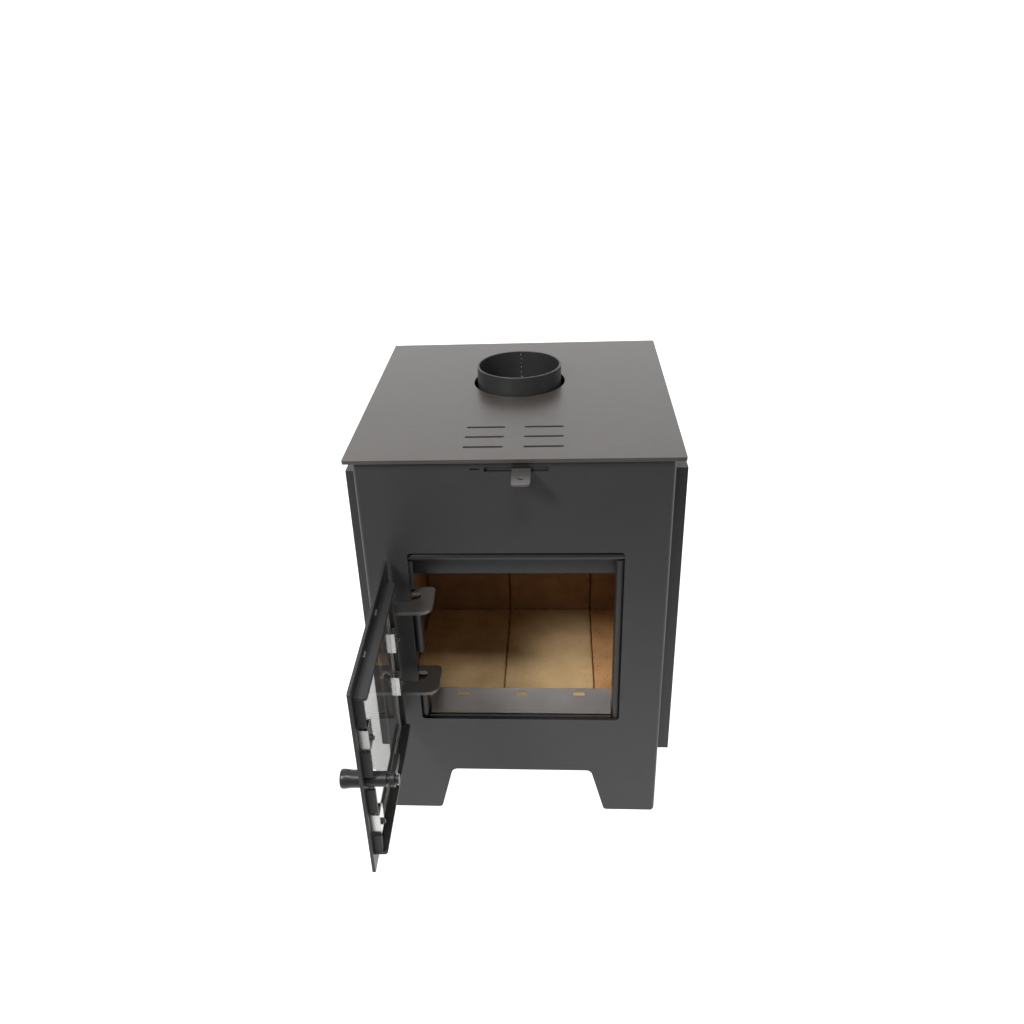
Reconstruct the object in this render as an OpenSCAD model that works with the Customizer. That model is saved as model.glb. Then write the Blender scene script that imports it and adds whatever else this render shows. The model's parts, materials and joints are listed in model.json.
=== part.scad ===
// Wood burning stove: a steel firebox on plate legs, lined with fire bricks, with a
// loose-fitting top plate round the flue collar, heat shields on both sides, a sliding
// air control and a glazed door that is drawn 89 degrees open.
// Every dimension is in millimetres. X runs to the right, Y from front to back, Z up.

/* [Stove body] */
// Width of the front plate
front_w = 408; // [380:1:440]
// Height from the floor to the underside of the top plate
body_h = 596; // [560:1:640]
// Outer distance from the front plate to the rear plate
body_d = 440; // [400:1:480]
// Thickness of the main steel plates
plate_t = 4; // [3:0.5:6]
// Depth of the folded side edges of the front and rear plates
fold_d = 22; // [12:1:30]
// Height of the cut-out between the legs
leg_gap_h = 80; // [50:1:100]
// Width of the leg cut-out at the floor
leg_gap_w = 253; // [200:1:280]
// Width of the leg cut-out at its top
leg_gap_top_w = 211; // [150:1:240]

/* [Door opening] */
// Width of the opening in the front plate
opening_w = 289.5; // [284:0.5:290]
// Height of the lower edge of the opening
opening_z0 = 179; // [175:0.5:190]
// Height of the upper edge of the opening
opening_z1 = 462.5; // [459:0.5:463]
// Clear distance between the centre line and each jamb of the door seat
seat_half_w = 134; // [133:0.5:137]
// Lower edge of the top rail of the door seat
seat_top_z = 447.5; // [446:0.5:450]

/* [Top] */
// Width of the top plate
top_w = 432; // [420:1:460]
// Depth of the top plate
top_d = 470; // [450:1:500]
// Thickness of the top plate
top_t = 5; // [4:0.5:8]
// How far the top plate stands out in front of the front plate
top_lip = 6; // [3:0.5:12]
// Outer diameter of the flue collar
collar_od = 125; // [120:1:130]
// Wall of the flue collar
collar_wall = 3; // [2:0.5:4]
// Height of the collar rim above the floor
collar_top_z = 627; // [615:1:660]
// Distance from the front plate to the flue axis
collar_y = 279; // [270:1:285]
// Diameter of the hole in the top plate that the collar passes through
collar_hole_d = 136; // [132:1:142]
// Length of each air slot in the top plate
slot_len = 52; // [40:1:56]
// Width of each air slot in the top plate
slot_w = 5.5; // [4:0.5:8]

/* [Heat shields] */
// Distance from the centre line to the outer face of a side panel
panel_x = 226; // [222:1:230]
// Lower edge of the side panels
panel_z0 = 83; // [70:1:100]
// Upper edge of the side panels
panel_z1 = 561.5; // [540:0.5:570]
// Distance from the front plate to the front edge of the side panels
panel_y0 = 50; // [40:1:60]
// Distance from the front plate to the rear edge of the side panels
panel_y1 = 425; // [400:1:435]

/* [Firebox lining] */
// Thickness of the floor and back bricks
brick_t = 25; // [20:1:30]
// Thickness of the side bricks
side_brick_t = 20; // [15:1:20]
// Upper face of the floor bricks
hearth_z = 163; // [160:1:166]
// Height of the top of the wall bricks
brick_top_z = 448; // [430:1:460]
// Distance from the front plate to the front face of the back bricks
back_brick_y = 320; // [300:1:325]

/* [Door] */
// Width of the door plate
door_w = 282; // [280:0.5:282]
// Lower edge of the door plate
door_z0 = 182; // [181.5:0.5:184]
// Upper edge of the door plate
door_z1 = 458.3; // [455:0.1:458.5]
// How far the door stands open, in degrees
door_open = 89; // [60:1:95]
// Depth of the top and bottom bars of the ring on the inside of the door
ring_d = 16; // [12:0.5:17]
// Depth of the two side bars of that ring
ring_side_d = 11; // [8:0.5:12]
// Thickness of the glass pane
glass_t = 4; // [3:0.5:5]

/* [Handle] */
// Distance from the centre line to the handle axis with the door shut
handle_x = 123; // [121:0.5:123.5]
// Height of the handle axis
handle_z = 320; // [300:1:340]
// Length of the latch arm from the handle axis to its tip
latch_len = 40; // [38:1:42]

/* [Air control] */
// Place of the middle of the tongue across the front plate
tongue_x = 11.2; // [0:0.1:12]
// How far the tongue stands out in front of the front plate
tongue_out = 46; // [30:1:60]
// Width of the tongue
tongue_w = 24; // [20:1:26]

/* [Hidden] */
$fn = 96;

gap = 0.3;                         // air between pieces that move past each other
front_y = -86.5;                   // front plate's face, so that the origin is mid-way under the whole
inner_y = plate_t;                 // back face of the front plate
wall_out = front_w / 2 - plate_t - 2;   // outer face of the firebox walls
wall_in = wall_out - plate_t;
floor_z = hearth_z - brick_t - gap;     // upper face of the firebox floor
box_top_z = 577;                   // underside of the firebox top
lid_z = box_top_z + plate_t;       // upper face of the firebox top
brick_x = wall_in - 0.5 - side_brick_t; // inner face of the side bricks
brick_y0 = 32;                     // front of the side bricks and the floor bricks
joints_x = [-brick_x, -28, 113, brick_x];   // brick joints across the hearth and the back
brick_gap = 0.6;
firebox_back_y = back_brick_y + brick_t + 1;
sheet = 2;                         // heat shield sheet
pivot = [-162.5, 12.2];            // door hinge axis
pin_r = 3;
arm_t = 5;
arm_z = [257, 392];                // undersides of the lower and the upper hinge arm
door_y = [-0.3, 3.7];              // outer and inner face of the door plate when shut
ring = [-102, 133.3, 206, 446.8];  // left, right, lower and upper side of the ring
bar_t = 4;
glass = [-88, 111, 215, 438];      // left, right, lower and upper edge of the pane
window = [-78, 101, 225, 428];     // hole in the door plate
glass_y = door_y[1] + 1.5;
clip_spots = [[-1, 293], [-1, 365], [1, 251], [1, 381]];   // side of the ring and height
slide_z = 582.5;
slide_t = 3;
slide_y = [24, 112];
port_x = 56.4;                     // air inlets each side of the centre line
port_len = 48;
port_w = 14;
slide_open = 21.5;                 // travel from the drawn place to fully open
slot_z = [581, 588];
slot_x = [-36, 46];

black = [0.16, 0.16, 0.17];
steel_grey = [0.36, 0.34, 0.32];
brick_col = [0.78, 0.62, 0.42];
bright = [0.8, 0.8, 0.8];

// Points of a closed outline with its corners rounded; each point is [x, y, radius]
function unit(v) = v / norm(v);
function corner(a, b, c, r) = r == 0 ? [b] :
  let (u = unit(a - b), w = unit(c - b), half = acos(u * w) / 2,
       centre = b + unit(u + w) * r / sin(half),
       p = b + u * r / tan(half) - centre, q = b + w * r / tan(half) - centre,
       a0 = atan2(p[1], p[0]), turn = atan2(p[0] * q[1] - p[1] * q[0], p * q), n = 8)
  [for (i = [0:n]) centre + r * [cos(a0 + turn * i / n), sin(a0 + turn * i / n)]];
function xy(p) = [p[0], p[1]];
function rounded(pts) = let (n = len(pts))
  [for (i = [0:n - 1]) each corner(xy(pts[(i + n - 1) % n]), xy(pts[i]), xy(pts[(i + 1) % n]), pts[i][2])];

module placed() translate([0, front_y, 0]) children();
// Draws a shape given across X and Z as a plate between two distances from the front
module upright(y0, y1) translate([0, y1, 0]) rotate([90, 0, 0]) linear_extrude(y1 - y0) children();
// Draws a shape given across Y and Z as a bar between two places across the width
module across(x0, x1) translate([x0, 0, 0]) rotate([90, 0, 90]) linear_extrude(x1 - x0) children();
// Turns what is described for the shut door to where the open door is
module on_door() placed() translate(pivot) rotate(-door_open) translate(-pivot) children();
module box(x, y, z) translate([x[0], y[0], z[0]]) cube([x[1] - x[0], y[1] - y[0], z[1] - z[0]]);
module frame_rect(b, r)
  polygon(rounded([[b[0], b[2], r], [b[1], b[2], r], [b[1], b[3], r], [b[0], b[3], r]]));
// Round-ended slot along X in plan
module obround(length, width) {
  square([length - width, width], center = true);
  for (s = [-1, 1]) translate([s * (length - width) / 2, 0]) circle(d = width);
}
// Upright plate on two legs with both side edges folded to the same side
module leg_plate() intersection() {
  linear_extrude(body_h) polygon(rounded([
    [-front_w / 2, fold_d, 0], [-front_w / 2, 0, 5], [front_w / 2, 0, 5], [front_w / 2, fold_d, 0],
    [front_w / 2 - plate_t, fold_d, 0], [front_w / 2 - plate_t, plate_t, 1],
    [plate_t - front_w / 2, plate_t, 1], [plate_t - front_w / 2, fold_d, 0]]));
  upright(-1, fold_d + 1) polygon(rounded([
    [-front_w / 2, 0, 6], [-leg_gap_w / 2, 0, 6], [-leg_gap_top_w / 2, leg_gap_h, 10],
    [leg_gap_top_w / 2, leg_gap_h, 10], [leg_gap_w / 2, 0, 6], [front_w / 2, 0, 6],
    [front_w / 2, body_h, 2], [-front_w / 2, body_h, 2]]));
}

module front_plate() color(black) placed() difference() {
  leg_plate();
  upright(-1, plate_t + 1) frame_rect([-opening_w / 2, opening_w / 2, opening_z0, opening_z1], 5);
  upright(-1, plate_t + 1) frame_rect([slot_x[0], slot_x[1], slot_z[0], slot_z[1]], 1.5);
  upright(-1, plate_t + 1) frame_rect([-54, -41.5, 584, 586], 0.9);
}

module rear_plate() color(black) placed() translate([0, body_d, 0]) mirror([0, 1, 0]) leg_plate();

module firebox_wall(side) color(black) placed()
  box(side > 0 ? [wall_in, wall_out] : [-wall_out, -wall_in], [plate_t, body_d - plate_t],
      [floor_z - plate_t, box_top_z]);
module firebox_wall_left() firebox_wall(-1);
module firebox_wall_right() firebox_wall(1);

module firebox_floor() color(black) placed()
  box([-wall_in, wall_in], [plate_t, body_d - plate_t], [floor_z - plate_t, floor_z]);

module firebox_back() color(black) placed()
  box([-wall_in, wall_in], [firebox_back_y, firebox_back_y + plate_t], [floor_z, box_top_z]);

module firebox_top() color(black) placed() difference() {
  box([-wall_out, wall_out], [plate_t, body_d - plate_t], [box_top_z, lid_z]);
  translate([0, collar_y, box_top_z - 1]) cylinder(d = collar_od - 2 * collar_wall, h = plate_t + 2);
  for (s = [-1, 1]) translate([s * port_x, 68, box_top_z - 1]) linear_extrude(plate_t + 2)
    obround(port_len, port_w);
}

module flue_collar() color(black) placed() translate([0, collar_y, lid_z]) difference() {
  cylinder(d = collar_od, h = collar_top_z - lid_z);
  translate([0, 0, -1]) cylinder(d = collar_od - 2 * collar_wall, h = collar_top_z - lid_z + 2);
}

module top_plate() color(steel_grey) placed() difference() {
  translate([0, 0, body_h]) linear_extrude(top_t) polygon(rounded([
    [-top_w / 2, -top_lip, 3], [top_w / 2, -top_lip, 3],
    [top_w / 2, top_d - top_lip, 3], [-top_w / 2, top_d - top_lip, 3]]));
  translate([0, collar_y, body_h - 1]) cylinder(d = collar_hole_d, h = top_t + 2);
  for (row = [33.3, 66, 98.8], s = [-1, 1])
    translate([s * 39, row, body_h - 1]) linear_extrude(top_t + 2) obround(slot_len, slot_w);
}

// Small angles that fix the top plate to the firebox walls
module top_plate_tabs() color(black) placed() for (s = [-1, 1], y = [40, body_d - 60])
  translate([0, y, 0]) difference() {
    upright(0, 20) polygon([[s * (wall_out - 2.9), lid_z], [s * (wall_out + 0), lid_z],
      [s * (wall_out + 0), body_h], [s * (wall_out - 15), body_h], [s * (wall_out - 15), body_h - 3],
      [s * (wall_out - 2.9), body_h - 3]]);
  }

// Heat shield: a sheet with its front, top and rear edges folded inwards
module side_panel(s) color(black) placed() {
  x0 = s * (panel_x - sheet);
  fold = 19;
  difference() {
    box(s > 0 ? [panel_x - fold, panel_x] : [-panel_x, fold - panel_x], [panel_y0, panel_y1],
        [panel_z0, panel_z1]);
    box(s > 0 ? [panel_x - fold - 1, x0] : [x0, fold - panel_x + 1],
        [panel_y0 + sheet, panel_y1 - sheet], [panel_z0 - 1, panel_z1 - sheet]);
    for (y = screw_y, z = screw_z) translate([x0 - 3, y, z]) rotate([0, 90, 0]) cylinder(r = 2.6, h = 6);
  }
}
screw_y = [110, 370];
screw_z = [150, 500];
module side_panel_left() side_panel(-1);
module side_panel_right() side_panel(1);

module panel_spacers() color(black) placed() for (s = [-1, 1], y = screw_y, z = screw_z)
  translate([s > 0 ? wall_out : -(panel_x - sheet), y, z]) rotate([0, 90, 0]) difference() {
    cylinder(r = 6, h = panel_x - sheet - wall_out);
    translate([0, 0, -1]) cylinder(r = 2.6, h = panel_x);
  }

module panel_screws() color(black) placed() for (s = [-1, 1], y = screw_y, z = screw_z)
  translate([s * wall_out, y, z]) rotate([0, s * 90, 0]) {
    cylinder(r = 2.5, h = panel_x - wall_out);
    translate([0, 0, panel_x - wall_out]) rotate_extrude()
      polygon([[0, 0], [5, 0], [5, 0.8], [3, 2.6], [0, 3]]);
  }

// Rolled section that the door closes on: a half-round bead shows inside the opening, a flange
// lies behind the front plate and a leg runs back from the inner edge. Points are [across, back, radius]
function rolled(edge, out) = [
  [edge, 24, 1], [edge, inner_y, bead_r - 0.1], [edge + out * 2 * bead_r, inner_y, bead_r - 0.1],
  [edge + out * 2 * bead_r, inner_y + bead_r, 0], [edge + out * (2 * bead_r + 1.5), inner_y + bead_r, 0],
  [edge + out * (2 * bead_r + 1.5), inner_y, 0], [edge + out * flange_w, inner_y, 0],
  [edge + out * flange_w, inner_y + 3, 0], [edge + out * 15, inner_y + 3, 0],
  [edge + out * 15, inner_y + 9, 0], [edge + out * 3, inner_y + 9, 1], [edge + out * 3, 24, 0]];
bead_r = 6;
flange_w = 26;

module jamb(s, z0, z1) translate([0, 0, z0]) linear_extrude(z1 - z0)
  polygon(rounded(rolled(s * seat_half_w, s)));

module seat_right() color(black) placed() jamb(1, opening_z0, seat_top_z - gap);

// The left jamb is cut away where the two hinge arms pass through it
module seat_left() color(black) placed() {
  jamb(-1, opening_z0, 250);
  jamb(-1, 297, 385);
  box([-seat_half_w - 18, -seat_half_w - 5], [inner_y, inner_y + 3], [404, seat_top_z - gap]);
}

module seat_top() color(black) placed() across(-seat_half_w - flange_w, seat_half_w + flange_w)
  polygon([for (p = rounded(rolled(seat_top_z, 1))) [p[1], p[0]]]);

// Rail under the lip, between the front plate and the hearth
module seat_bottom() color(black) placed() across(-seat_half_w + gap, seat_half_w - gap) polygon(rounded([
  [inner_y, 168, 0], [inner_y + 3, 168, 0], [inner_y + 3, 184, 0], [inner_y, 184, 1]]));

// Sheet that leads the incoming air down behind the front plate to the top of the glass
module air_duct() color(black) placed() across(0.5 - wall_in, wall_in - 0.5) polygon([
  [28.8, 414], [31.2, 414], [31.2, 528], [100, box_top_z], [96, box_top_z], [28.8, 529.5]]);

lip_front = [4.6, 187.5];
lip_rear = [31, 213.5];
lip_t = 3;
lip_slope = atan2(lip_rear[1] - lip_front[1], lip_rear[0] - lip_front[0]);
lip_len = norm(lip_rear - lip_front);

// Sloping fire lip with three air slots, in front of the hearth
module fire_lip() color(black) placed() translate([0, lip_front[0], lip_front[1]]) rotate([lip_slope, 0, 0])
  difference() {
    translate([0, 0, -lip_t]) linear_extrude(lip_t)
      frame_rect([-131, seat_half_w - 1, 0, lip_len], 1.5);
    for (x = [-84, 1.5, 87]) translate([x, lip_len - 8.5, -lip_t - 1]) linear_extrude(lip_t + 2)
      obround(18, 5);
  }

module brick(x, y, z) color(brick_col) placed() box(x, y, z);
module floor_brick(i) brick([joints_x[i] + brick_gap / 2, joints_x[i + 1] - brick_gap / 2],
  [brick_y0, back_brick_y - brick_gap], [floor_z + gap, hearth_z]);
module back_brick(i) brick([joints_x[i] + brick_gap / 2, joints_x[i + 1] - brick_gap / 2],
  [back_brick_y, back_brick_y + brick_t], [floor_z + gap, brick_top_z]);
module side_brick(s, k) {
  depth = (back_brick_y + brick_t - brick_y0) / 2;
  brick(s > 0 ? [brick_x + gap, wall_in - 0.2] : [0.2 - wall_in, -brick_x - gap],
        [brick_y0 + k * depth, brick_y0 + (k + 1) * depth - brick_gap], [floor_z + gap, brick_top_z]);
}
module floor_brick_left() floor_brick(0);
module floor_brick_middle() floor_brick(1);
module floor_brick_right() floor_brick(2);
module back_brick_left() back_brick(0);
module back_brick_middle() back_brick(1);
module back_brick_right() back_brick(2);
module left_brick_front() side_brick(-1, 0);
module left_brick_rear() side_brick(-1, 1);
module right_brick_front() side_brick(1, 0);
module right_brick_rear() side_brick(1, 1);

// Board on top of the wall bricks that makes the smoke pass along the front
module baffle_board() color(brick_col) placed()
  box([-wall_in + 1, wall_in - 1], [130, back_brick_y + brick_t], [brick_top_z + gap, brick_top_z + 15]);

// Channel on the firebox top, open towards the air slide; out is -1 at the front edge, 1 at the rear
module slide_guide(x0, x1, edge, out) across(x0, x1) polygon([
  [edge + out * 3, lid_z], [edge - out * 8, lid_z], [edge - out * 8, slide_z - gap],
  [edge + out * gap, slide_z - gap], [edge + out * gap, slide_z + slide_t + gap],
  [edge - out * 8, slide_z + slide_t + gap], [edge - out * 8, slide_z + slide_t + 2.3],
  [edge + out * 3, slide_z + slide_t + 2.3]]);

// The front channel is left open where the tongue travels
module slide_guides() color(black) placed() {
  slide_guide(-165, slot_x[0] - 2, slide_y[0], -1);
  slide_guide(slot_x[1] + 2, 165, slide_y[0], -1);
  slide_guide(-165, 165, slide_y[1], 1);
}

// Air control: a plate with two ports over the inlets, pushed left and right by its tongue;
// a strip across the tongue closes the slot in the front plate from behind
module air_slide() color(steel_grey) placed() {
  box([slot_x[0] - 24, slot_x[1] + 36], [inner_y + 1, inner_y + 3], [lid_z + gap, slot_z[1] + 2]);
  translate([0, 0, slide_z]) difference() {
    linear_extrude(slide_t) union() {
      translate([-114, slide_y[0]]) square([236, slide_y[1] - slide_y[0]]);
      polygon(rounded([[tongue_x - tongue_w / 2, -tongue_out, 6], [tongue_x + tongue_w / 2, -tongue_out, 6],
        [tongue_x + tongue_w / 2, slide_y[0] + 1, 0], [tongue_x - tongue_w / 2, slide_y[0] + 1, 0]]));
    }
    translate([tongue_x, -28, -1]) cylinder(d = 8.5, h = slide_t + 2);
    for (s = [-1, 1]) translate([s * port_x - slide_open, 68, -1]) linear_extrude(slide_t + 2)
      obround(port_len, port_w);
  }
}

module hinge_lugs() color(black) placed() for (z = arm_z, up = [0, 1])
  translate([0, 0, up == 1 ? z + arm_t + gap : z - 4 - gap]) difference() {
    linear_extrude(4) union() {
      translate(pivot) circle(r = 8);
      translate([pivot[0] - 8, inner_y]) square([16, pivot[1] - inner_y]);
    }
    translate([pivot[0], pivot[1], -1]) cylinder(r = pin_r, h = 6);
  }

module hinge_pins() color(bright) placed() for (z = arm_z) translate([pivot[0], pivot[1], z - 4 - gap]) {
  cylinder(r = pin_r, h = arm_t + 8 + 2 * gap);
  translate([0, 0, arm_t + 8 + 2 * gap]) cylinder(r = 4.5, h = 2);
}

// Bar behind the front plate that the latch arm turns in behind
module latch_keeper() color(black) placed() across(150, 156) polygon(rounded([
  [inner_y + 3, handle_z - 16, 0], [12, handle_z - 16, 0], [arm_y[0] - gap, handle_z - 10, 3],
  [arm_y[0] - gap, handle_z + 10, 3], [12, handle_z + 16, 0], [inner_y + 3, handle_z + 16, 0]]));

module door_plate() color(black) on_door() difference() {
  upright(door_y[0], door_y[1]) frame_rect([-door_w / 2, door_w / 2, door_z0, door_z1], 3);
  upright(door_y[0] - 1, door_y[1] + 1) frame_rect(window, 6);
  translate([handle_x, door_y[0] - 1, handle_z]) rotate([-90, 0, 0]) cylinder(r = 7, h = 6);
}

// Flat bars on edge; the top and bottom bars are deeper and stand a little past the side bars,
// and the free side bar is cut out where the clips and the handle boss sit
module door_ring() color(black) on_door() difference() {
  side = [ring[0] + 1, ring[1] - 1];
  union() {
    for (x = [[side[0], side[0] + bar_t], [side[1] - bar_t, side[1]]])
      box(x, [door_y[1], door_y[1] + ring_side_d], [ring[2] + 1, ring[3] - 1]);
    for (z = [ring[2], ring[3] - bar_t]) translate([0, 0, z]) linear_extrude(bar_t) polygon(rounded([
      [ring[0], door_y[1], 0], [ring[1], door_y[1], 0],
      [ring[1], door_y[1] + ring_d, 4], [ring[0], door_y[1] + ring_d, 4]]));
  }
  box([side[1] - bar_t - 1, ring[1] + 1], [door_y[1] - 1, door_y[1] + ring_d + 1],
      [handle_z - 10, handle_z + 10]);
  for (c = clip_spots) if (c[0] > 0)
    box([side[1] - bar_t - 1, ring[1] + 1], [door_y[1] + 1, door_y[1] + ring_side_d + 1],
        [c[1] - clip_h / 2, c[1] + clip_h / 2 + 7]);
}

module door_glass() color([0.75, 0.8, 0.8, 0.35]) on_door()
  upright(glass_y, glass_y + glass_t) frame_rect(glass, 2);

module glass_gasket() color([0.85, 0.85, 0.82]) on_door() upright(door_y[1], glass_y) difference() {
  frame_rect(glass, 2);
  frame_rect([glass[0] + 9, glass[1] - 9, glass[2] + 9, glass[3] - 9], 2);
}

clip_h = 30;
clip_t = 1.5;
clip_top = door_y[1] + ring_side_d;
stud_in = 6;                       // from the inner side of the ring bar to the stud
// Inner face of the ring's side bar that a clip stands against
function clip_wall(side) = side < 0 ? ring[0] + 1 + bar_t + gap : ring[1] - 1 - bar_t - gap;
// Bent steel clips that bridge from the door plate to the edge of the pane
module glass_clips() color(bright) on_door() for (c = clip_spots) {
  wall = clip_wall(c[0]);
  into = -c[0];
  toe = c[0] < 0 ? 16 : 21;
  translate([wall, 0, c[1] - clip_h / 2]) difference() {
    linear_extrude(clip_h) polygon([[0, door_y[1]], [0, clip_top], [into * toe, clip_top],
      [into * toe, glass_y + glass_t], [into * (toe - clip_t), glass_y + glass_t],
      [into * (toe - clip_t), clip_top - clip_t], [into * clip_t, clip_top - clip_t],
      [into * clip_t, door_y[1]]]);
    translate([into * stud_in, door_y[1], clip_h / 2]) rotate([-90, 0, 0]) cylinder(r = 2.5, h = 20);
  }
}

// Studs on the door plate with a nut on each, clamping the clips
module clip_screws() color(black) on_door() for (c = clip_spots)
  translate([clip_wall(c[0]) - c[0] * stud_in, door_y[1], c[1]]) rotate([-90, 0, 0]) {
    cylinder(r = 2.4, h = ring_d);
    translate([0, 0, ring_side_d]) cylinder(r = 4.2, h = 3);
  }

// Hooked arm that reaches from the pivot behind the front plate round its edge to the door
module hinge_arm(z) color(black) on_door() translate([0, 0, z]) difference() {
  web = [44.7, 62.7];
  linear_extrude(arm_t) difference() {
    union() {
      translate(pivot) circle(r = 8);
      translate([-170.5, pivot[1]]) square([14.2, web[1] - pivot[1] - 8]);
      translate([-162.5, web[1] - 8]) circle(r = 8);
      translate([-162.5, web[1] - 20]) square([38.2, 20]);
      translate([-124.3, web[1] - 17]) circle(r = 17);
      translate([-133.3, door_y[1]]) square([26, web[1] - 17 - door_y[1]]);
      translate([-150, web[0] - 9]) square([20, 12]);
    }
    translate([-147.3, web[0] - 9]) circle(r = 9);
    translate([-156.3, door_y[1] - 1]) square([18, web[0] - 8 - door_y[1]]);
    translate([-156.3, -10]) square([23, pivot[1] + 10]);
  }
  translate([pivot[0], pivot[1], -1]) cylinder(r = pin_r + 0.05, h = arm_t + 2);
}
module hinge_arm_upper() hinge_arm(arm_z[1]);
module hinge_arm_lower() hinge_arm(arm_z[0]);

boss_end = 28.6;
arm_y = [32, 38];
shaft_r = 6.35;
shaft_end = 42.6;
knob_out = 25.5;

module on_handle() on_door() translate([handle_x, 0, handle_z]) rotate([-90, 0, 0]) children();

module handle_boss() color(black) on_handle() translate([0, 0, door_y[1]]) difference() {
  cylinder(r = 9, h = boss_end - door_y[1]);
  translate([0, 0, -1]) cylinder(r = shaft_r + 0.05, h = boss_end);
}

module knob() color(black) on_handle() translate([0, 0, door_y[0] - knob_out])
  rotate_extrude() polygon(rounded([
  [0, 0, 0], [11.6, 0, 2.5], [11.5, 7, 6], [10.5, 13, 6], [10.6, knob_out - gap, 1],
  [shaft_r, knob_out - gap, 0], [shaft_r, 10, 0], [0, 10, 0]]));

module spindle() color(black) on_handle() difference() {
  translate([0, 0, door_y[0] - knob_out + 10])
    cylinder(r = shaft_r, h = shaft_end - door_y[0] + knob_out - 10);
  translate([0, 8, 40.4]) rotate([90, 0, 0]) cylinder(r = 1.5, h = 16);
}

// Flat arm on the spindle; with the handle as drawn it points to the hinges
module latch_arm() color(black) on_handle() translate([0, 0, arm_y[0]]) difference() {
  linear_extrude(arm_y[1] - arm_y[0]) union() {
    circle(r = 9.5);
    translate([-latch_len + 6, -6]) square([latch_len - 6, 12]);
    translate([-latch_len + 6, 0]) circle(r = 6);
  }
  translate([0, 0, -1]) cylinder(r = shaft_r, h = 8);
}

module latch_pin() color(bright) on_handle() translate([0, 9, 40.4]) rotate([90, 0, 0])
  cylinder(r = 1.5, h = 18);

front_plate();
rear_plate();
firebox_wall_left();
firebox_wall_right();
firebox_floor();
firebox_back();
firebox_top();
flue_collar();
top_plate();
top_plate_tabs();
side_panel_left();
side_panel_right();
panel_spacers();
panel_screws();
seat_top();
seat_right();
seat_left();
seat_bottom();
air_duct();
fire_lip();
floor_brick_left();
floor_brick_middle();
floor_brick_right();
back_brick_left();
back_brick_middle();
back_brick_right();
left_brick_front();
left_brick_rear();
right_brick_front();
right_brick_rear();
baffle_board();
slide_guides();
air_slide();
hinge_lugs();
hinge_pins();
latch_keeper();
door_plate();
door_ring();
door_glass();
glass_gasket();
glass_clips();
clip_screws();
hinge_arm_upper();
hinge_arm_lower();
handle_boss();
knob();
spindle();
latch_arm();
latch_pin();
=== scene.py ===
import json
import math
import random

import bmesh
import bpy
import numpy as np
from mathutils import Matrix, Vector, noise


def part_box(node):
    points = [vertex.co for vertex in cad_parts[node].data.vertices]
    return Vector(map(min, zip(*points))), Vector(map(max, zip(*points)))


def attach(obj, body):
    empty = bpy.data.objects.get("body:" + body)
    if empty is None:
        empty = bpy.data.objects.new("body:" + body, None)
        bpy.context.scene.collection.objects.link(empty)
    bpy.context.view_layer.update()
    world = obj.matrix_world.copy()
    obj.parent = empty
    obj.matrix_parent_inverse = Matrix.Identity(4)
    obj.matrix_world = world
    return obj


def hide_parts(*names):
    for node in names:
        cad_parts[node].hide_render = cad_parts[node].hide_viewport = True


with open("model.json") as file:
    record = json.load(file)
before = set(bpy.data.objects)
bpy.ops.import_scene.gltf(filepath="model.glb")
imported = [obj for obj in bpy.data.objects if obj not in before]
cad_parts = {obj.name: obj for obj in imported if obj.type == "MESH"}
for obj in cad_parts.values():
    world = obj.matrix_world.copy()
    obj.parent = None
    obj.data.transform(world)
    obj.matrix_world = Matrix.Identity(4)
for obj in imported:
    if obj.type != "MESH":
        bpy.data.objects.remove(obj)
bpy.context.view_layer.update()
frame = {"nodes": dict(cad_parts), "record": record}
MM = 0.001
WELD_MERGE = 2e-6         # metres; CAD corners nearer than this are one corner
FLAT_ANGLE = 0.4          # degrees; faces nearer to flat than this are one face
ON_SURFACE = 1e-6         # metres; a grid point nearer than this to a brick's face lies on it


# ---------------------------------------------------------------- materials

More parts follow.
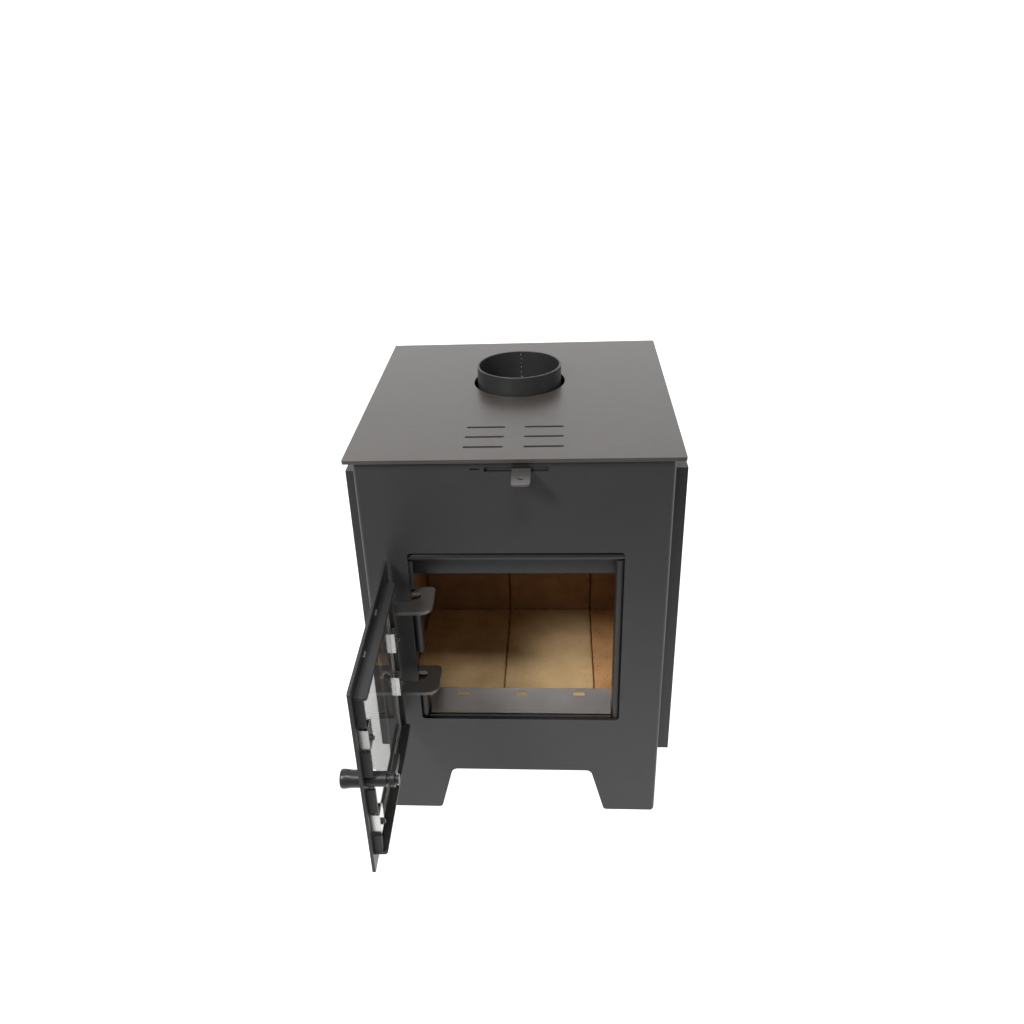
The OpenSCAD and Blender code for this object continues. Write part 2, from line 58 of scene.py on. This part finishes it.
class Surface:
    """A material under construction: a Principled shader and short calls for the nodes around it."""

    def __init__(self, name):
        self.material = bpy.data.materials.new(name)
        self.material.use_nodes = True
        self.tree = self.material.node_tree
        self.shader = self.tree.nodes["Principled BSDF"]
        self.place = self.tree.nodes.new("ShaderNodeTexCoord").outputs["Object"]

    def node(self, kind, **settings):
        made = self.tree.nodes.new(kind)
        for key, value in settings.items():
            setattr(made, key, value)
        return made

    def link(self, source, target):
        self.tree.links.new(source, target)

    def set(self, **values):
        for key, value in values.items():
            self.shader.inputs[key.replace("_", " ")].default_value = value

    def stretched(self, x, y, z):
        mapping = self.node("ShaderNodeMapping")
        mapping.inputs["Scale"].default_value = (x, y, z)
        self.link(self.place, mapping.inputs["Vector"])
        return mapping.outputs["Vector"]

    def noise(self, scale, detail, rough, at=None):
        n = self.node("ShaderNodeTexNoise")
        n.inputs["Scale"].default_value = scale
        n.inputs["Detail"].default_value = detail
        n.inputs["Roughness"].default_value = rough
        self.link(at or self.place, n.inputs["Vector"])
        return n.outputs["Fac"]

    def cells(self, scale):
        v = self.node("ShaderNodeTexVoronoi")
        v.inputs["Scale"].default_value = scale
        self.link(self.place, v.inputs["Vector"])
        return v.outputs["Distance"]

    def ramp(self, value, stops):
        r = self.node("ShaderNodeValToRGB")
        ramp = r.color_ramp
        while len(ramp.elements) < len(stops):
            ramp.elements.new(0.5)
        for element, (at, colour) in zip(ramp.elements, stops):
            element.position = at
            rgb = colour if isinstance(colour, tuple) else (colour,) * 3
            element.color = (*rgb, 1.0)
        self.link(value, r.inputs["Fac"])
        return r.outputs["Color"]

    def blend(self, factor, a, b):
        m = self.node("ShaderNodeMix", data_type="RGBA")
        for socket, value in ((m.inputs[0], factor), (m.inputs[6], a), (m.inputs[7], b)):
            if isinstance(value, bpy.types.NodeSocket):
                self.link(value, socket)
            elif isinstance(value, tuple):
                socket.default_value = (*value, 1.0)
            else:
                socket.default_value = value
        return m.outputs[2]

    def spread(self, value, low, high):
        r = self.node("ShaderNodeMapRange")
        self.link(value, r.inputs["Value"])
        r.inputs["To Min"].default_value = low
        r.inputs["To Max"].default_value = high
        return r.outputs["Result"]

    def colour(self, source):
        self.link(source, self.shader.inputs["Base Color"])

    def roughness(self, source):
        self.link(source, self.shader.inputs["Roughness"])

    def bump(self, *layers):
        """Each layer is (height source, depth in metres)."""
        last = None
        for height, depth in layers:
            b = self.node("ShaderNodeBump")
            b.inputs["Strength"].default_value = 1.0
            b.inputs["Distance"].default_value = depth
            self.link(height, b.inputs["Height"])
            if last:
                self.link(last, b.inputs["Normal"])
            last = b.outputs["Normal"]
        self.link(last, self.shader.inputs["Normal"])


def stove_paint(name, dark, light, rough=(0.36, 0.48), level=0.5, grain=0.00004):
    """Sprayed heat-resistant paint: dark, faintly cloudy, with a fine sandy grain."""
    s = Surface(name)
    clouds = s.noise(9, 4, 0.6)
    patches = s.noise(38, 3, 0.5)
    specks = s.noise(2600, 2, 0.6)
    tone = s.blend(0.35, clouds, patches)
    base = s.ramp(tone, [(0.3, dark), (0.7, light)])
    s.colour(s.blend(0.10, base, s.ramp(specks, [(0.35, 0.0), (0.75, 0.35)])))
    s.roughness(s.spread(s.blend(0.5, clouds, specks), *rough))
    s.bump((s.noise(1400, 3, 0.6), grain), (s.noise(60, 2, 0.5), 0.00012))
    s.set(Specular_IOR_Level=level)
    return s.material


def bare_metal(name, dark, light, rough=(0.25, 0.42), brushed=(1, 1, 1), depth=0.00002):
    """Steel with fine drawing marks along one direction."""
    s = Surface(name)
    marks = s.noise(900, 4, 0.7, s.stretched(*brushed))
    stain = s.noise(70, 4, 0.6)
    s.colour(s.ramp(s.blend(0.5, marks, stain), [(0.3, dark), (0.7, light)]))
    s.roughness(s.spread(marks, *rough))
    s.bump((marks, depth))
    s.set(Metallic=1.0)
    return s.material


def fire_brick(name, pale, tan, brown, speck, speckle, painted_pit_shade):
    """Pressed fire clay: cream to brown grain with dark and light grit, and small pits darkened with
    painted shade.
    """
    s = Surface(name)
    clouds = s.noise(26, 5, 0.6)
    grit = s.noise(900, 3, 0.7)
    flecks = s.cells(420)
    pits = s.noise(330, 2, 0.5)
    base = s.ramp(clouds, [(0.25, brown), (0.5, tan), (0.78, pale)])
    base = s.blend(s.ramp(grit, [(0.42, 0.0), (0.72, 0.55)]), base, pale)
    base = s.blend(s.ramp(flecks, [(0.0, speckle * 2), (0.22, 0.0)]), base, speck)
    # painted shade: the pits' hollows are darkened toward the speck colour
    base = s.blend(s.ramp(pits, [(0.27, painted_pit_shade), (0.36, 0.0)]), base, speck)
    s.colour(base)
    s.roughness(s.spread(grit, 0.82, 0.98))
    s.bump((grit, 0.00025), (s.ramp(pits, [(0.25, 0.0), (0.37, 1.0)]), 0.0006), (clouds, 0.0006))
    s.set(Specular_IOR_Level=0.25)
    return s.material


def clear_glass(name):
    """Ceramic glass pane with faint smears."""
    s = Surface(name)
    smears = s.noise(30, 4, 0.6, s.stretched(1, 1, 3))
    s.roughness(s.spread(smears, 0.0, 0.012))
    s.colour(s.ramp(smears, [(0.3, (0.68, 0.68, 0.665)), (0.7, (0.72, 0.72, 0.705))]))
    s.set(Transmission_Weight=1.0, IOR=1.45)
    return s.material


def woven_tape(name):
    """Glass-fibre tape: a fine plain weave of pale yarn, darker in the weave's hollows as painted shade.
    """
    s = Surface(name)
    yarn = s.node("ShaderNodeTexWave", bands_direction="X")
    cross = s.node("ShaderNodeTexWave", bands_direction="Z")
    for wave in (yarn, cross):
        wave.inputs["Scale"].default_value = 300
        wave.inputs["Distortion"].default_value = 1.5
        s.link(s.place, wave.inputs["Vector"])
    weave = s.blend(0.5, yarn.outputs["Fac"], cross.outputs["Fac"])
    # the colour follows the weave's height: painted shade in its hollows
    s.colour(s.ramp(weave, [(0.2, (0.42, 0.41, 0.38)), (0.8, (0.80, 0.79, 0.75))]))
    s.roughness(s.spread(weave, 0.95, 0.75))
    s.bump((weave, 0.0003))
    return s.material


def pressed_board(name):
    """Vermiculite board: golden flakes pressed into a pale tan sheet."""
    s = Surface(name)
    flakes = s.cells(260)
    clouds = s.noise(40, 4, 0.6)
    base = s.ramp(clouds, [(0.3, (0.46, 0.36, 0.22)), (0.7, (0.62, 0.51, 0.33))])
    s.colour(s.blend(s.ramp(flakes, [(0.0, 0.6), (0.35, 0.0)]), base, (0.78, 0.66, 0.42)))
    s.roughness(s.spread(flakes, 0.7, 0.95))
    s.bump((flakes, 0.0005), (clouds, 0.0004))
    return s.material


def studio_floor(name):
    """White sweep glowing softly like a lit product table, darker towards the camera side."""
    s = Surface(name)
    haze = s.noise(3, 2, 0.5)
    s.colour(s.ramp(haze, [(0.3, 0.24), (0.7, 0.27)]))
    s.roughness(s.spread(haze, 0.8, 0.95))
    split = s.node("ShaderNodeSeparateXYZ")
    s.link(s.place, split.inputs["Vector"])
    front = s.node("ShaderNodeMapRange", interpolation_type="SMOOTHSTEP")
    front.inputs["From Min"].default_value = GLOW_DARK_Y
    front.inputs["From Max"].default_value = GLOW_FULL_Y
    front.inputs["To Min"].default_value = GLOW_FRONT
    front.inputs["To Max"].default_value = GLOW
    s.link(split.outputs["Y"], front.inputs["Value"])
    s.link(front.outputs["Result"], s.shader.inputs["Emission Strength"])
    s.link(s.ramp(haze, [(0.3, (0.985, 0.985, 0.985)), (0.7, (1.0, 1.0, 1.0))]),
           s.shader.inputs["Emission Color"])
    return s.material


GLOW, GLOW_FRONT = 1.2, 0.16           # strength of the lit sweep behind and in front of the stove
GLOW_DARK_Y, GLOW_FULL_Y = -0.90, -0.42  # metres; the camera sees the sweep only behind the second

PAINT = stove_paint("body_paint", (0.0115, 0.0115, 0.0115), (0.0165, 0.016, 0.016), level=0.42)
# lighter than the body paint: a painted sheen for the light the up-facing top plate catches
TOP_SHEEN_PAINT = stove_paint("top_plate_paint", (0.036, 0.030, 0.0255), (0.052, 0.0435, 0.037),
                        (0.27, 0.36), 0.43)
# darker than the body paint: painted shade on the recessed door seat and the door's inner ring
INNER_SHADE_PAINT = stove_paint("inner_paint", (0.008, 0.0072, 0.007), (0.014, 0.0125, 0.0118),
                          (0.32, 0.44), 0.34)
# far lighter than the body paint: painted sheen and reflection on the fire lip
LIP_SHEEN_PAINT = stove_paint("lip_painted_sheen", (0.105, 0.092, 0.084), (0.150, 0.134, 0.122),
                        (0.16, 0.24), 0.8)
HANDLE = stove_paint("handle_steel", (0.006, 0.006, 0.0065), (0.010, 0.010, 0.0105),
                     (0.28, 0.36), 0.4, 0.00002)
# lighter than the body paint: painted sheen on the hinge arms' upward faces
ARM_SHEEN_PAINT = stove_paint("arm_painted_sheen", (0.040, 0.036, 0.033), (0.062, 0.056, 0.051), (0.30, 0.42), 0.7)
TONGUE = stove_paint("bare_steel", (0.048, 0.045, 0.042), (0.070, 0.065, 0.060), (0.34, 0.46), 0.7)
BRIGHT = bare_metal("bright_steel", (0.55, 0.55, 0.54), (0.80, 0.80, 0.78), (0.20, 0.34), (1, 1, 9))
PIN_STEEL = bare_metal("pin_steel", (0.34, 0.34, 0.34), (0.52, 0.52, 0.52), (0.28, 0.4), (1, 1, 5))
SCREW_BLACK = stove_paint("dark_screws", (0.012, 0.012, 0.013), (0.024, 0.024, 0.026),
                          (0.30, 0.42), 0.5, 0.00001)
CREAM_BRICK = fire_brick("cream_brick", (0.68, 0.49, 0.27), (0.60, 0.42, 0.215),
                         (0.50, 0.33, 0.155), (0.28, 0.16, 0.08), 0.08, 0.3)
ORANGE_BRICK = fire_brick("orange_brick", (0.62, 0.37, 0.18), (0.52, 0.28, 0.115),
                          (0.38, 0.18, 0.07), (0.13, 0.065, 0.03), 0.6, 0.85)
# a darker, browner copy of the cream brick: painted shade on the back row and the rear side bricks
SHADE_PAINTED_BRICK = fire_brick("shade_painted_brick", (0.47, 0.29, 0.16), (0.40, 0.235, 0.12),
                          (0.32, 0.175, 0.085), (0.17, 0.095, 0.05), 0.2, 0.4)
GLASS = clear_glass("ceramic_glass")
TAPE = woven_tape("glass_tape")
BOARD = pressed_board("vermiculite")
WELD = bare_metal("weld_bead", (0.30, 0.28, 0.27), (0.55, 0.52, 0.49), (0.28, 0.45), (1, 1, 1), 0.0001)


# ---------------------------------------------------------------- building pieces

def mesh_object(name, bm, material, smooth_below=40):
    """A bmesh as an object, smooth except across edges sharper than the given angle."""
    bm.normal_update()
    limit = math.radians(smooth_below)
    for edge in bm.edges:
        edge.smooth = len(edge.link_faces) == 2 and edge.calc_face_angle(0) < limit
    for face in bm.faces:
        face.smooth = True
    mesh = bpy.data.meshes.new(name)
    bm.to_mesh(mesh)
    bm.free()
    mesh.materials.append(material)
    made = bpy.data.objects.new(name, mesh)
    bpy.context.scene.collection.objects.link(made)
    return made


def apply_modifiers(thing):
    graph = bpy.context.evaluated_depsgraph_get()
    final = bpy.data.meshes.new_from_object(thing.evaluated_get(graph))
    thing.modifiers.clear()
    thing.data = final
    return thing


def cad_bmesh(node):
    """The CAD node's mesh with its flat faces joined up again."""
    bm = bmesh.new()
    bm.from_mesh(frame["nodes"][node].data)
    bmesh.ops.remove_doubles(bm, verts=bm.verts, dist=WELD_MERGE)
    bmesh.ops.dissolve_limit(bm, angle_limit=math.radians(FLAT_ANGLE), verts=bm.verts, edges=bm.edges)
    return bm


def eased(thing, width, segments=2, angle=32):
    """Rounds the sharp edges of a piece a little, as paint and tumbling leave them."""
    bevel = thing.modifiers.new("eased", "BEVEL")
    bevel.width = width
    bevel.segments = segments
    bevel.limit_method = "ANGLE"
    bevel.angle_limit = math.radians(angle)
    bevel.miter_outer = "MITER_ARC"
    weighted = thing.modifiers.new("weighted", "WEIGHTED_NORMAL")
    weighted.keep_sharp = True
    return apply_modifiers(thing)


def body_of(node):
    return next(b for b, nodes in frame["record"]["behaviour"]["bodies"].items() if node in nodes)


def stands_for(piece, node):
    """The piece shows in place of a CAD node and moves as it does."""
    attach(piece, body_of(node))
    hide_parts(node)


def softened(node, material, width=0.5 * MM, segments=2):
    piece = mesh_object(node + "_form", cad_bmesh(node), material)
    stands_for(eased(piece, width, segments), node)


BRICK_WEAR, BRICK_CHIP = 1.5 * MM, 1.9 * MM  # how far every edge is worn back, and chips beyond it
BRICK_WAVE = 0.25 * MM                       # how far the faces wander inwards
BRICK_CELL = 5 * MM                          # the grid that carries both


def brick_form(node, material, seed):
    """A fire brick: a fine grid over the CAD box, edges worn and chipped, faces slightly wavy."""
    low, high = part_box(node)
    size = high - low
    bm = bmesh.new()
    middle = Matrix.Translation((low + high) / 2)
    bmesh.ops.create_cube(bm, size=1.0, matrix=middle @ Matrix.Diagonal((*size, 1)))
    for axis in range(3):
        steps = max(1, round(size[axis] / BRICK_CELL))
        for k in range(1, steps):
            at = Vector((0, 0, 0))
            at[axis] = low[axis] + size[axis] * k / steps
            normal = Vector((0, 0, 0))
            normal[axis] = 1
            geometry = bm.verts[:] + bm.edges[:] + bm.faces[:]
            bmesh.ops.bisect_plane(bm, geom=geometry, plane_co=at, plane_no=normal)
    shift = Vector((seed * 7.3, seed * 1.7, seed * 3.1))
    for v in bm.verts:
        reach = [min(v.co[a] - low[a], high[a] - v.co[a]) for a in range(3)]
        near = sorted(range(3), key=lambda a: reach[a])
        inward = Vector((0, 0, 0))
        for a in near[:2]:
            inward[a] = 1 if v.co[a] - low[a] < high[a] - v.co[a] else -1
        chip = max(0.0, noise.noise(v.co * 90 + shift) - 0.15) * 2.4
        wear = BRICK_WEAR + BRICK_CHIP * chip
        if reach[near[1]] < ON_SURFACE:
            v.co += inward.normalized() * wear
        elif reach[near[0]] < ON_SURFACE:
            face_in = Vector((0, 0, 0))
            face_in[near[0]] = inward[near[0]]
            wave = 0.5 + 0.5 * noise.noise(v.co * 22 + shift)
            v.co += face_in * BRICK_WAVE * wave
    piece = mesh_object(node + "_form", bm, material, 60)
    stands_for(eased(piece, 0.5 * MM, 2, 40), node)


# ---------------------------------------------------------------- the stove body

for node in ("front_plate", "rear_plate"):
    softened(node, PAINT, 0.7 * MM, 3)
for node in ("firebox_wall_left", "firebox_wall_right", "firebox_floor", "firebox_back", "firebox_top",
             "top_plate_tabs", "air_duct", "slide_guides", "panel_spacers", "hinge_lugs", "latch_keeper"):
    softened(node, PAINT, 0.4 * MM)
for node in ("side_panel_left", "side_panel_right"):
    softened(node, PAINT, 0.6 * MM, 3)
softened("top_plate", TOP_SHEEN_PAINT, 0.9 * MM, 3)
softened("flue_collar", PAINT, 0.7 * MM, 3)
for node in ("seat_top", "seat_right", "seat_left", "seat_bottom"):
    softened(node, INNER_SHADE_PAINT, 0.5 * MM)
softened("fire_lip", LIP_SHEEN_PAINT, 0.4 * MM)
softened("air_slide", TONGUE, 0.6 * MM, 3)

# the number gives each brick its own pattern of chips
for node, clay, seed in (("floor_brick_left", CREAM_BRICK, 1), ("floor_brick_middle", CREAM_BRICK, 2),
                         ("back_brick_left", SHADE_PAINTED_BRICK, 3), ("back_brick_middle", SHADE_PAINTED_BRICK, 4),
                         ("left_brick_rear", SHADE_PAINTED_BRICK, 5), ("right_brick_rear", SHADE_PAINTED_BRICK, 6),
                         ("floor_brick_right", ORANGE_BRICK, 11), ("back_brick_right", SHADE_PAINTED_BRICK, 12),
                         ("left_brick_front", ORANGE_BRICK, 13), ("right_brick_front", ORANGE_BRICK, 14)):
    brick_form(node, clay, seed)
softened("baffle_board", BOARD, 1.0 * MM)

# ---------------------------------------------------------------- door and handle

softened("door_plate", PAINT, 0.6 * MM, 3)
softened("door_ring", INNER_SHADE_PAINT, 0.5 * MM)
softened("door_glass", GLASS, 0.4 * MM)
softened("glass_gasket", TAPE, 0.3 * MM)
softened("glass_clips", BRIGHT, 0.3 * MM)
softened("clip_screws", SCREW_BLACK, 0.25 * MM)
for node in ("hinge_arm_upper", "hinge_arm_lower"):
    softened(node, ARM_SHEEN_PAINT, 0.8 * MM, 3)
softened("handle_boss", HANDLE, 0.4 * MM)
softened("spindle", HANDLE, 0.5 * MM)
softened("latch_arm", HANDLE, 0.6 * MM)
softened("latch_pin", PIN_STEEL, 0.25 * MM)
softened("hinge_pins", PIN_STEEL, 0.4 * MM)
softened("panel_screws", SCREW_BLACK, 0.25 * MM)

# ---------------------------------------------------------------- weld beads

FRONT_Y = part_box("front_plate")[0].y
HINGE_X, HINGE_DEPTH = -162.5, 12.2  # millimetres; the hinge axis, and its depth behind the front
OPEN_ANGLE = -89                     # degrees from shut, as the door stands at rest
PIVOT = Vector((HINGE_X * MM, FRONT_Y + HINGE_DEPTH * MM, 0))
DOOR_TURN = (Matrix.Translation(PIVOT) @ Matrix.Rotation(math.radians(OPEN_ANGLE), 4, "Z")
             @ Matrix.Translation(-PIVOT))


def on_door(x, y, z):
    """A point of the shut door, millimetres from the front plate's face, where the open door has it."""
    return DOOR_TURN @ Vector((x * MM, FRONT_Y + y * MM, z * MM))


def weld_bead(name, start, end, radius, rides_with, seed):
    """A lumpy run of weld between two points: overlapping flattened drops."""
    bm = bmesh.new()
    rng = random.Random(seed)
    run = end - start
    drops = max(2, round(run.length / (radius * 0.9)))
    turn = run.to_track_quat("X", "Z").to_matrix().to_4x4()
    for k in range(drops):
        centre = start + run * (k + 0.5) / drops
        size = radius * rng.uniform(0.8, 1.12)
        scale = Matrix.Diagonal((size * 1.25, size, size * 0.9, 1))
        bmesh.ops.create_icosphere(bm, subdivisions=3, radius=1.0,
                                   matrix=Matrix.Translation(centre) @ turn @ scale)
    for v in bm.verts:
        v.co += v.normal * noise.noise(v.co * 1600) * radius * 0.18
    bead = mesh_object(name, bm, WELD, 180)
    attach(bead, rides_with)


RING_BEAD = 1.5 * MM              # radius of a bead between ring and door plate
RING_TOP, RING_FOOT = 447.3, 205.6  # millimetres above the floor, just outside the ring's bars


def ring_weld(name, x, z, seed):
    """A short bead, level along the door, where the ring's bar meets the plate."""
    weld_bead(name, on_door(x - 5, 4.2, z), on_door(x + 5, 4.8, z), RING_BEAD, "door", seed)


for k, x in enumerate((-32, 54)):
    ring_weld(f"ring_weld_{k}", x, RING_TOP, k)
for k, x in enumerate((-70, 20, 95)):
    ring_weld(f"ring_weld_low_{k}", x, RING_FOOT, 9 + k)


TURNED_SIDES = 128


def arc(centre, radius, start, end, steps=8):
    """Points (radius, along) on a rounding of a turned profile; angles in degrees."""
    turns = np.radians(np.linspace(start, end, steps))
    return [(centre[0] + radius * math.cos(t), centre[1] + radius * math.sin(t)) for t in turns]


def turned(node, profile, material, x, z):
    """A turned part on the door: a profile of (radius, depth) points spun about the handle's axis."""
    bm = bmesh.new()
    rings = []
    for radius, y in profile:
        rings.append([bm.verts.new(on_door(x + radius * math.cos(t), y, z + radius * math.sin(t)))
                      for t in np.linspace(0, 2 * math.pi, TURNED_SIDES, endpoint=False)])
    for a, b in zip(rings, rings[1:]):
        for k in range(TURNED_SIDES):
            after = (k + 1) % TURNED_SIDES
            bm.faces.new((a[k], a[after], b[after], b[k]))
    for ring in (rings[0], rings[-1]):
        bm.faces.new(ring)
    bmesh.ops.recalc_face_normals(bm, faces=bm.faces)
    stands_for(mesh_object(node + "_form", bm, material, 30), node)


KNOB_PROFILE = [(2.0, -25.8)] + arc((9.1, -23.3), 2.5, -90, 0) + [
    (11.6, -21.0), (11.52, -19.4), (11.3, -17.6), (11.0, -15.8), (10.75, -14.0), (10.62, -12.0),
    (10.58, -9.0), (10.6, -4.0)] + arc((10.0, -1.2), 0.6, 0, 90, 5)
HANDLE_X, HANDLE_Z = 123, 320  # millimetres; the handle's axis on the shut door
turned("knob", KNOB_PROFILE, HANDLE, HANDLE_X, HANDLE_Z)

collar_low, collar_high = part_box("flue_collar")
collar_mid = (collar_low + collar_high) / 2
SEAM_TACKS, SEAM_STEP, TACK_LENGTH = 6, 7.2, 3.2  # down the collar's inside, in millimetres
for k in range(SEAM_TACKS):
    z = collar_high.z - (3 + SEAM_STEP * k) * MM
    spot = Vector((collar_mid.x + 1 * MM, collar_high.y - 3.2 * MM, z))
    foot = spot - Vector((0, 0, TACK_LENGTH * MM))
    weld_bead(f"collar_seam_{k}", spot, foot, 0.8 * MM, "stove", 20 + k)

# ---------------------------------------------------------------- floor, light and camera

SWEEP_BEND_Y, SWEEP_BEND = 1.6, 1.2  # metres; where the floor curls up, and its radius
sweep = [(-5.0, 0.0), (SWEEP_BEND_Y, 0.0)]
sweep += [(SWEEP_BEND_Y + SWEEP_BEND * math.sin(t), SWEEP_BEND - SWEEP_BEND * math.cos(t))
          for t in np.linspace(0.13, math.pi / 2, 12)]
sweep += [(SWEEP_BEND_Y + SWEEP_BEND, 4.0)]
floor_mesh = bmesh.new()
rows = [[floor_mesh.verts.new((x, y, z)) for x in (-6.0, 6.0)] for y, z in sweep]
for near, far in zip(rows, rows[1:]):
    floor_mesh.faces.new((near[0], near[1], far[1], far[0]))
floor = mesh_object("studio_floor", floor_mesh, studio_floor("studio_floor"))

WORLD_GLOW = 0.16
world = bpy.data.worlds.new("studio")
bpy.context.scene.world = world
world.use_nodes = True
background = world.node_tree.nodes["Background"]
background.inputs["Color"].default_value = (1.0, 1.0, 1.0, 1.0)
background.inputs["Strength"].default_value = WORLD_GLOW


def softbox(name, place, target, size, power):
    """A rectangular studio light aimed at a point."""
    data = bpy.data.lights.new(name, "AREA")
    data.shape = "RECTANGLE"
    data.size, data.size_y = size
    data.energy = power
    lamp = bpy.data.objects.new(name, data)
    bpy.context.scene.collection.objects.link(lamp)
    lamp.location = place
    lamp.rotation_euler = (Vector(target) - Vector(place)).to_track_quat("-Z", "Y").to_euler()


# place, target and size in metres, power in watts
softbox("overhead", (0.0, 0.45, 2.2), (0, 0.25, 0.5), (1.8, 1.2), 6)
softbox("above_front", (0.05, -1.0, 2.13), (0, 0.0, 0.2), (0.5, 0.3), 14)
softbox("key_left", (-0.845, -1.152, 1.62), (0.03, 0.05, 0.2), (0.4, 0.4), 26)
softbox("right_fill", (1.9, -0.2, 1.0), (0.2, 0.1, 0.3), (0.8, 1.4), 4)

CAMERA_PLACE = Vector((55.87 * MM, FRONT_Y - 1060.1 * MM, 1079.2 * MM))
YAW, PITCH, ROLL = (math.radians(a) for a in (-5.0898, -30.0934, -2.7554))
LENS, SENSOR = 32.624, 36  # millimetres
SHIFT = (0.0255, 0.0405)

ahead = Vector((math.sin(YAW) * math.cos(PITCH), math.cos(YAW) * math.cos(PITCH), math.sin(PITCH)))
level_right = Vector((math.cos(YAW), -math.sin(YAW), 0))
level_up = level_right.cross(ahead)
right = math.cos(ROLL) * level_right + math.sin(ROLL) * level_up
up = math.cos(ROLL) * level_up - math.sin(ROLL) * level_right
camera_data = bpy.data.cameras.new("camera")
camera_data.lens = LENS
camera_data.sensor_width = SENSOR
camera_data.shift_x, camera_data.shift_y = SHIFT
camera_data.clip_start = 0.01
camera = bpy.data.objects.new("camera", camera_data)
bpy.context.scene.collection.objects.link(camera)
facing = Matrix((right, up, -ahead)).transposed().to_4x4()
camera.matrix_world = Matrix.Translation(CAMERA_PLACE) @ facing
bpy.context.scene.camera = camera
bpy.context.scene.view_settings.view_transform = "Standard"

# ---------------------------------------------------------------- finish

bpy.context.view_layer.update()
